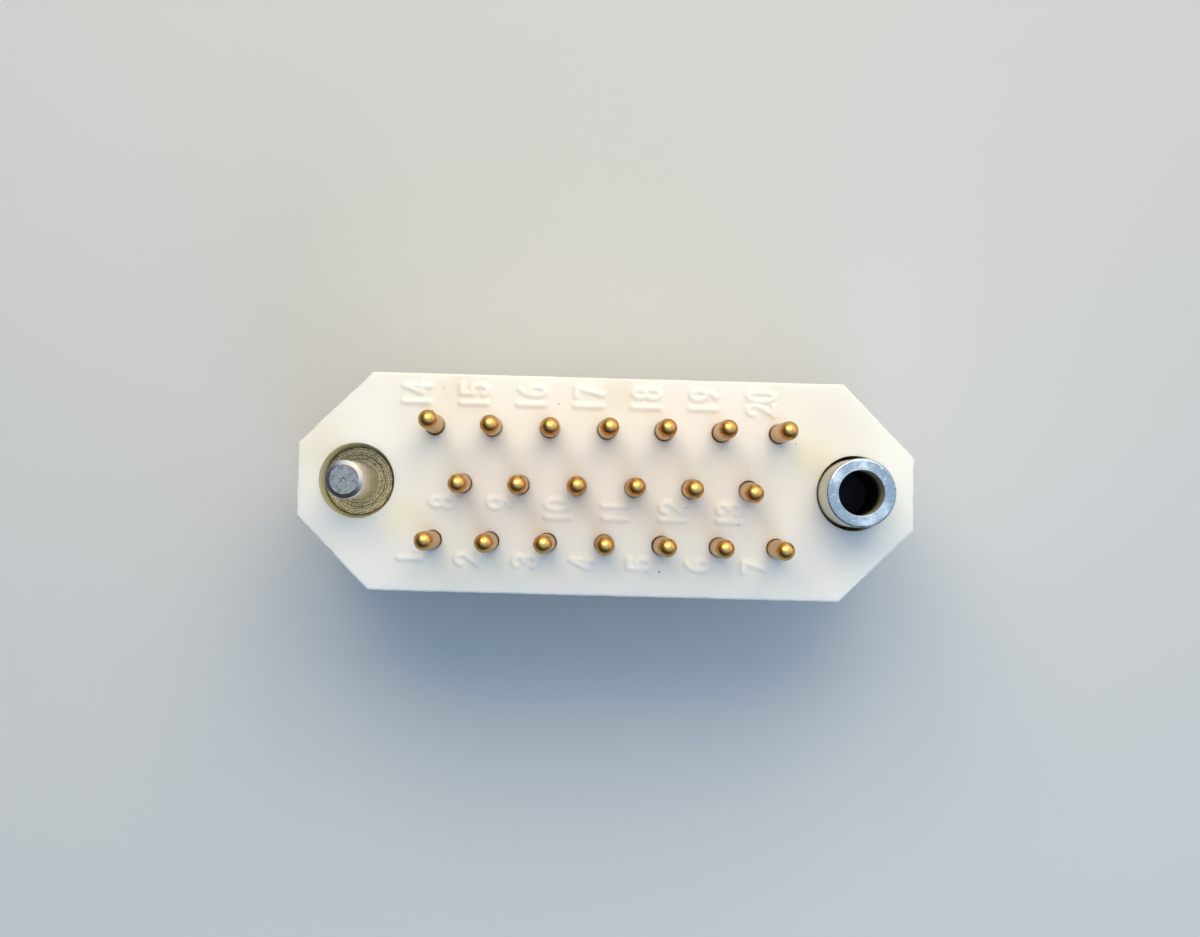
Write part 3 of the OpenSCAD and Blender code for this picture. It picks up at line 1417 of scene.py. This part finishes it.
@dataclass
class Contacts:
    """The turned contacts, modelled once and copied, some with the lean that use gave them."""

    pin_r: float = 0.51 * MM
    stem_r: float = 0.54 * MM
    shoulder_r: float = 0.81 * MM
    barrel_r: float = 0.67 * MM
    tail_r: float = 0.32 * MM
    tail_bevel: float = 0.14 * MM
    land_h: float = 0.7 * MM
    shoulder_z: float = 6.9 * MM
    shoulder_h: float = 0.8 * MM
    barb_h: float = 0.6 * MM
    barb_count: int = 3
    nose_steps: int = 12
    sides: int = 48
    bend_depth: float = 0.6 * MM
    leans: dict[int, Point] = field(default_factory=lambda: {
        1: (-0.13, 0.02), 2: (-0.10, -0.02), 3: (-0.14, 0.0), 5: (0.16, -0.01),
        6: (0.04, 0.0), 7: (0.07, -0.03), 8: (0.0, -0.07), 9: (0.0, -0.05),
        10: (0.0, -0.03), 12: (-0.09, -0.05), 13: (-0.07, -0.20), 14: (-0.07, 0.15),
        15: (0.05, -0.06), 16: (0.10, -0.10), 17: (0.10, -0.03), 19: (0.06, 0.04),
        20: (0.11, 0.03),
    })
    gaps: dict[int, Point] = field(default_factory=lambda: {
        1: (0.016, 0.018), 2: (0.016, 0.018), 3: (0.018, 0.020), 4: (-0.017, 0.017),
        5: (-0.022, 0.012), 6: (-0.020, 0.014), 7: (-0.016, 0.018), 8: (0.018, -0.015),
        9: (0.015, -0.018), 11: (-0.01, -0.015), 12: (-0.020, -0.010), 13: (-0.014, 0.020),
        14: (0.0, -0.022), 15: (0.004, -0.024), 16: (0.0, -0.022), 17: (-0.005, -0.024),
        18: (-0.012, -0.020), 19: (-0.016, -0.016), 20: (-0.020, -0.010),
    })

    def __post_init__(self) -> None:
        """Takes the nodes' names, places and ends from the frame."""
        self.nodes = sorted(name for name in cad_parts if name.startswith("contact_"))
        boxes = [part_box(name) for name in self.nodes]
        self.places = [Vector(((a.x + b.x) / 2, (a.y + b.y) / 2, 0.0)) for a, b in boxes]
        self.tail_z = boxes[0][0].z
        self.nose_z = boxes[0][1].z

    def holes(self) -> list[Vector]:
        """Returns the places of the holes, in which the pins stand off centre."""
        shifts = [self.gaps.get(number, (0.0, 0.0)) for number in range(1, len(self.places) + 1)]
        return [place + Vector((*shift, 0.0)) * MM for place, shift in zip(self.places, shifts)]

    def build(self, face_z: float) -> list[Piece]:
        """Models every contact.

        Args:
            face_z: Height of the mating face.

        Returns:
            The contacts in the order of their numbers.
        """
        first = Bench.turn("contact_blank", self._profile(face_z), self.sides)
        made = []
        for number, place in enumerate(self.places, 1):
            contact = Bench.copy(first, f"turned_contact_{number:02d}", place)
            if number in self.leans:
                self._lean(contact, place, face_z - self.bend_depth, self.leans[number])
            made.append(contact)
        bpy.data.objects.remove(first)
        return made

    def _profile(self, face_z: float) -> list[Ring]:
        """Draws the profile of a contact.

        Args:
            face_z: Height of the mating face.

        Returns:
            The rings from the tail to the nose.
        """
        barb_step = (self.shoulder_z - self.shoulder_h - self.land_h) / (self.barb_count + 1)
        rings = [
            Ring(self.tail_r - self.tail_bevel, self.tail_z),
            Ring(self.tail_r, self.tail_z + self.tail_bevel),
            Ring(self.tail_r, 0.0),
            Ring(self.shoulder_r, 0.0),
            Ring(self.shoulder_r, self.land_h),
            Ring(self.barrel_r, self.land_h),
        ]
        for barb in range(1, self.barb_count + 1):
            height = self.land_h + barb * barb_step - self.barb_h / 2
            rings.append(Ring(self.barrel_r, height))
            rings.append(Ring(self.shoulder_r, height))
            rings.append(Ring(self.barrel_r, height + self.barb_h))
        rings += [
            Ring(self.barrel_r, self.shoulder_z - self.shoulder_h),
            Ring(self.shoulder_r, self.shoulder_z - self.shoulder_h),
            Ring(self.shoulder_r, self.shoulder_z),
            Ring(self.stem_r, self.shoulder_z),
            Ring(self.pin_r, face_z),
        ]
        nose = Ring(0.0, self.nose_z - self.pin_r)
        rings += Profile.arc(nose, self.pin_r, 0, 90, self.nose_steps)[:-1]
        rings.append(Ring(0.0, self.nose_z))
        return rings

    def _lean(self, contact: Piece, place: Vector, pivot_z: float, lean: Point) -> None:
        """Bends a contact's pin.

        Args:
            contact: The contact.
            place: Place of its axis.
            pivot_z: Height at which it is bent.
            lean: How far its tip goes along X and Y, in millimetres.
        """
        pivot = (place.x, place.y, pivot_z)
        reach = self.nose_z - pivot_z
        Bench.take(contact)
        bpy.ops.object.mode_set(mode="EDIT")
        Bench.pick(Element.VERTS, lambda v: v.co.z > pivot_z)
        for axis, way, shift in (("Y", -1.0, lean[0]), ("X", 1.0, lean[1])):
            angle = way * math.asin(shift * MM / reach)
            bpy.ops.transform.rotate(value=angle, orient_axis=axis, center_override=pivot)
        bpy.ops.object.mode_set(mode="OBJECT")


@dataclass
class Guide:
    """What both guides share: a shoulder on the wall, a rolled rim behind it and a tapped hole."""

    outer_r: float = 1.86 * MM
    spigot_r: float = 1.3 * MM
    seat_z: float = 3.6 * MM
    rim_r: float = 2.0 * MM
    rim_inset: float = 0.15 * MM
    rim_h: float = 0.5 * MM
    tap_r: float = 0.9 * MM
    tap_z: float = 5.0 * MM
    mouth: float = 0.4 * MM
    thread_pitch: float = 0.4 * MM
    thread_depth: float = 0.12 * MM
    edge: float = 0.1 * MM
    edge_steps: int = 4
    feed: float = 0.075 * MM
    mark_depth: float = 0.006 * MM
    sides: int = 96

    def fastening(self) -> list[Ring]:
        """Draws the part of the profile that both guides share.

        Returns:
            The rings from the floor of the tapped hole round the rolled rim to the seat.
        """
        rim = Ring(self.rim_r - self.edge, self.rim_inset + self.edge)
        top = self.rim_inset + self.rim_h
        threads = Profile.threaded(
            self.tap_r, self.tap_z - self.mouth, self.rim_inset + self.mouth,
            self.thread_pitch, self.thread_depth,
        )
        return [
            Ring(self.tap_r, self.tap_z),
            *threads,
            Ring(self.tap_r + self.mouth, self.rim_inset),
            *Profile.arc(rim, self.edge, -90, 0, self.edge_steps),
            Ring(self.rim_r, top),
            Ring(self.spigot_r, top),
            Ring(self.spigot_r, self.seat_z),
            Ring(self.outer_r, self.seat_z),
        ]

    @staticmethod
    def axis(node: str) -> Vector:
        """Returns the place of a guide's axis."""
        low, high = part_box(node)
        return Vector(((low.x + high.x) / 2, (low.y + high.y) / 2, 0.0))


@dataclass
class GuidePin(Guide):
    """The guide pin on its collar, sunk in its hole."""

    outer_r: float = 1.92 * MM
    collar_z: float = 8.4 * MM
    pin_r: float = 1.03 * MM
    root: float = 0.08 * MM
    flat_r: float = 0.77 * MM
    tip_h: float = 0.16 * MM
    tip_round: float = 0.06 * MM
    pip_r: float = 0.1 * MM

    def build(self) -> Piece:
        """Models the guide pin.

        Returns:
            The guide pin.
        """
        tip_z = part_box("guide_pin")[1].z
        collar = Ring(self.outer_r - self.edge, self.collar_z - self.edge)
        tip = Ring(self.pin_r - self.tip_round, tip_z - self.tip_h - self.tip_round / 2)
        rings = self.fastening()
        rings += Profile.arc(collar, self.edge, 0, 90, self.edge_steps)
        rings += Profile.faced(
            self.outer_r - 1.5 * self.edge, self.pin_r + self.root, self.collar_z,
            self.feed, 2 * self.mark_depth,
        )
        rings += [
            Ring(self.pin_r, self.collar_z + self.root),
            *Profile.arc(tip, self.tip_round, 0, 55, self.edge_steps),
            Ring(self.flat_r + 0.2 * self.edge, tip_z - 0.2 * self.edge),
        ]
        rings += Profile.faced(self.flat_r, self.pip_r, tip_z, self.feed, self.mark_depth)
        rings.append(Ring(0.0, tip_z - self.pip_r))
        piece = Bench.turn("turned_guide_pin", rings, self.sides)
        Bench.move(piece, self.axis("guide_pin"))
        return piece


@dataclass
class GuideSocket(Guide):
    """The guide socket, a tube bored from the front."""

    bore_r: float = 1.22 * MM
    bore_h: float = 7.4 * MM
    bore_edge: float = 0.04 * MM

    def build(self) -> Piece:
        """Models the guide socket.

        Returns:
            The guide socket.
        """
        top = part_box("guide_socket")[1].z
        outer = Ring(self.outer_r - self.edge, top - self.edge)
        inner = Ring(self.bore_r + self.bore_edge, top - self.bore_edge)
        rings = self.fastening()
        rings += Profile.arc(outer, self.edge, 0, 90, self.edge_steps)
        rings += Profile.faced(
            self.outer_r - 1.2 * self.edge, self.bore_r + 1.5 * self.bore_edge, top,
            self.feed, self.mark_depth,
        )
        rings += Profile.arc(inner, self.bore_edge, 90, 180, self.edge_steps)
        rings.append(Ring(self.bore_r, top - self.bore_h))
        piece = Bench.turn("turned_guide_socket", rings, self.sides)
        Bench.move(piece, self.axis("guide_socket"))
        return piece


@dataclass
class Viewpoint:
    """The camera, at the photograph's viewing angle."""

    lens: float = 61.2
    sensor: float = 36.0
    distance: float = 112.9 * MM
    shift: Point = (0.31 * MM, -1.02 * MM)
    tilt_x: float = math.radians(-1.0)
    tilt_y: float = math.radians(0.41)
    roll: float = math.radians(-1.52)
    near: float = 1.0 * MM

    def build(self, face_z: float) -> None:
        """Makes the scene's camera.

        Args:
            face_z: Height of the mating face, from which the distance counts.
        """
        Bench.clear()
        bpy.ops.object.camera_add()
        camera = bpy.context.object
        turn = Matrix.Rotation(self.roll, 3, "Z") @ Matrix.Rotation(self.tilt_y, 3, "Y")
        turn = turn @ Matrix.Rotation(self.tilt_x, 3, "X")
        away = Vector((*self.shift, -self.distance))
        camera.matrix_world = turn.transposed().to_4x4()
        camera.location = Vector((0.0, 0.0, face_z)) - turn.transposed() @ away
        camera.data.sensor_fit = "HORIZONTAL"
        camera.data.sensor_width = self.sensor
        camera.data.lens = self.lens
        camera.data.clip_start = self.near
        bpy.context.scene.camera = camera


@dataclass(frozen=True)
class Lamp:
    """One soft lamp.

    Args:
        name: Name of the lamp.
        azimuth: Direction in degrees from +X towards +Y.
        elevation: Height above the horizon in degrees.
        distance: Distance from the mating face.
        size: Width and height of the lamp.
        power: Power in watts.
        tint: Colour of the light.
        mirrored: Whether shiny pieces mirror the lamp.
    """

    name: str
    azimuth: float
    elevation: float
    distance: float
    size: Point
    power: float
    tint: Colour
    mirrored: bool = True

    def build(self, aim: Vector) -> None:
        """Hangs the lamp.

        Args:
            aim: The point that it faces.
        """
        turn, rise = math.radians(self.azimuth), math.radians(self.elevation)
        level = math.cos(rise)
        way = Vector((level * math.cos(turn), level * math.sin(turn), math.sin(rise)))
        Bench.clear()
        bpy.ops.object.light_add(type="AREA", location=aim + way * self.distance)
        lamp = bpy.context.object
        lamp.name = self.name
        lamp.rotation_euler = way.to_track_quat("Z", "Y").to_euler()
        lamp.data.shape = "ELLIPSE"
        lamp.data.size, lamp.data.size_y = self.size
        lamp.data.energy = self.power
        lamp.data.color = self.tint
        lamp.visible_glossy = self.mirrored


@dataclass
class Studio:
    """A plain pale floor, a dim surround that is brighter on the lamps' side, and soft lamps."""

    floor_size: float = 6.0
    floor_colour: Colour = (0.62, 0.62, 0.615)
    floor_rough: float = 0.7
    sky: Colour = (0.52, 0.75, 1.02)
    lit_side: Colour = (1.1, 1.03, 0.92)
    far_side: Colour = (0.022, 0.025, 0.04)
    sky_way: Triple = (0.36, 0.47, 0.81)
    sky_range: Point = (0.15, 0.85)
    lit_way: Triple = (0.68, 0.73, 0.0)
    lit_range: Point = (0.35, 0.9)
    lit_heights: Point = (0.75, 0.4)
    lamps: tuple[Lamp, ...] = (
        Lamp("key_lamp_left", 114.0, 53.0, 0.17, (0.09, 0.13), 0.110, (1.0, 0.79, 0.46)),
        Lamp("key_lamp_right", 68.0, 53.0, 0.17, (0.09, 0.13), 0.110, (1.0, 0.81, 0.50)),
        Lamp("fill_lamp", -67.0, 34.0, 0.17, (0.12, 0.12), 0.080, (0.48, 0.69, 1.0), False),
    )

    def build(self, floor_z: float, face_z: float) -> None:
        """Sets the stage.

        Args:
            floor_z: Height of the floor.
            face_z: Height of the mating face.
        """
        scene = bpy.context.scene
        scene.view_settings.view_transform = "Standard"
        Bench.clear()
        bpy.ops.mesh.primitive_plane_add(size=self.floor_size, location=(0.0, 0.0, floor_z))
        floor = bpy.context.object
        floor.name = "floor"
        recipe = Recipe.of_material("floor_paper")
        floor.data.materials.append(
            recipe.surface({"Base Color": self.floor_colour, "Roughness": self.floor_rough})
        )
        self._surround(scene)
        for lamp in self.lamps:
            lamp.build(Vector((0.0, 0.0, face_z)))

    def _surround(self, scene: bpy.types.Scene) -> None:
        """Lights the scene from all round, by the direction of each ray.

        Args:
            scene: The scene.
        """
        recipe = Recipe.of_world("surround")
        scene.world = recipe.owner
        way = recipe.node("ShaderNodeTexCoord", out="Generated")
        high = recipe.rise(recipe.along(way, self.sky_way), *self.sky_range)
        colour = recipe.mix(high, self.far_side, self.sky)
        low = recipe.rise(recipe.split(way)[2], *self.lit_heights)
        lit = recipe.rise(recipe.along(way, self.lit_way), *self.lit_range) * low
        colour = recipe.mix(lit, colour, self.lit_side)
        recipe.close(recipe.node("ShaderNodeBackground", None, {"Color": colour}))


def mount(piece: Piece, slot: Slot, material: bpy.types.Material, *nodes: str) -> None:
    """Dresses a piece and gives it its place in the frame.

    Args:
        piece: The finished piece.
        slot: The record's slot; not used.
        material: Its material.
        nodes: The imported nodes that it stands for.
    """
    piece.data.materials.clear()
    piece.data.materials.append(material)
    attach(piece, BODY)
    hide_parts(*nodes)
    LOG.info("%s: %d faces, stands for %s", piece.name, len(piece.data.polygons), ", ".join(nodes))


def main() -> None:
    """Builds every piece, the camera and the studio."""
    logging.basicConfig(level=logging.INFO, format="%(name)s: %(message)s")
    insulator = Insulator()
    contacts = Contacts()
    face_z = insulator.high.z
    pin_axis, socket_axis = Guide.axis("guide_pin"), Guide.axis("guide_socket")
    middle = (pin_axis + socket_axis) / 2
    guide_holes = [pin_axis - middle, socket_axis - middle]

    Viewpoint().build(face_z)
    Studio().build(CAD_BOX[0].z, face_z)

    hole_axes = tuple((hole.x / MM, hole.y / MM) for hole in guide_holes)
    ivory = IvoryMoulding(face_z / MM, hole_axes).material()
    numerals = Numerals().build(contacts.places, face_z)
    block = insulator.build(contacts.holes(), guide_holes, pin_axis, numerals)
    mount(block, Slot.INSULATOR, ivory, "insulator")

    gold = GoldPlate(contacts.nose_z / MM).material()
    for node, contact in zip(contacts.nodes, contacts.build(face_z)):
        mount(contact, Slot.CONTACT, gold, node)

    pin = GuidePin()
    tip_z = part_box("guide_pin")[1].z
    pin_metal = GuidePinMetal(
        (pin_axis.x / MM, pin_axis.y / MM), collar_z=pin.collar_z / MM, tip_z=tip_z / MM
    )
    mount(pin.build(), Slot.GUIDE, pin_metal.material(), "guide_pin")
    socket = GuideSocket()
    rim_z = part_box("guide_socket")[1].z
    socket_metal = GuideSocketMetal(
        (socket_axis.x / MM, socket_axis.y / MM), rim_z=rim_z / MM, bore_r=socket.bore_r / MM
    )
    mount(socket.build(), Slot.GUIDE, socket_metal.material(), "guide_socket")


if __name__ == "__main__":
    main()
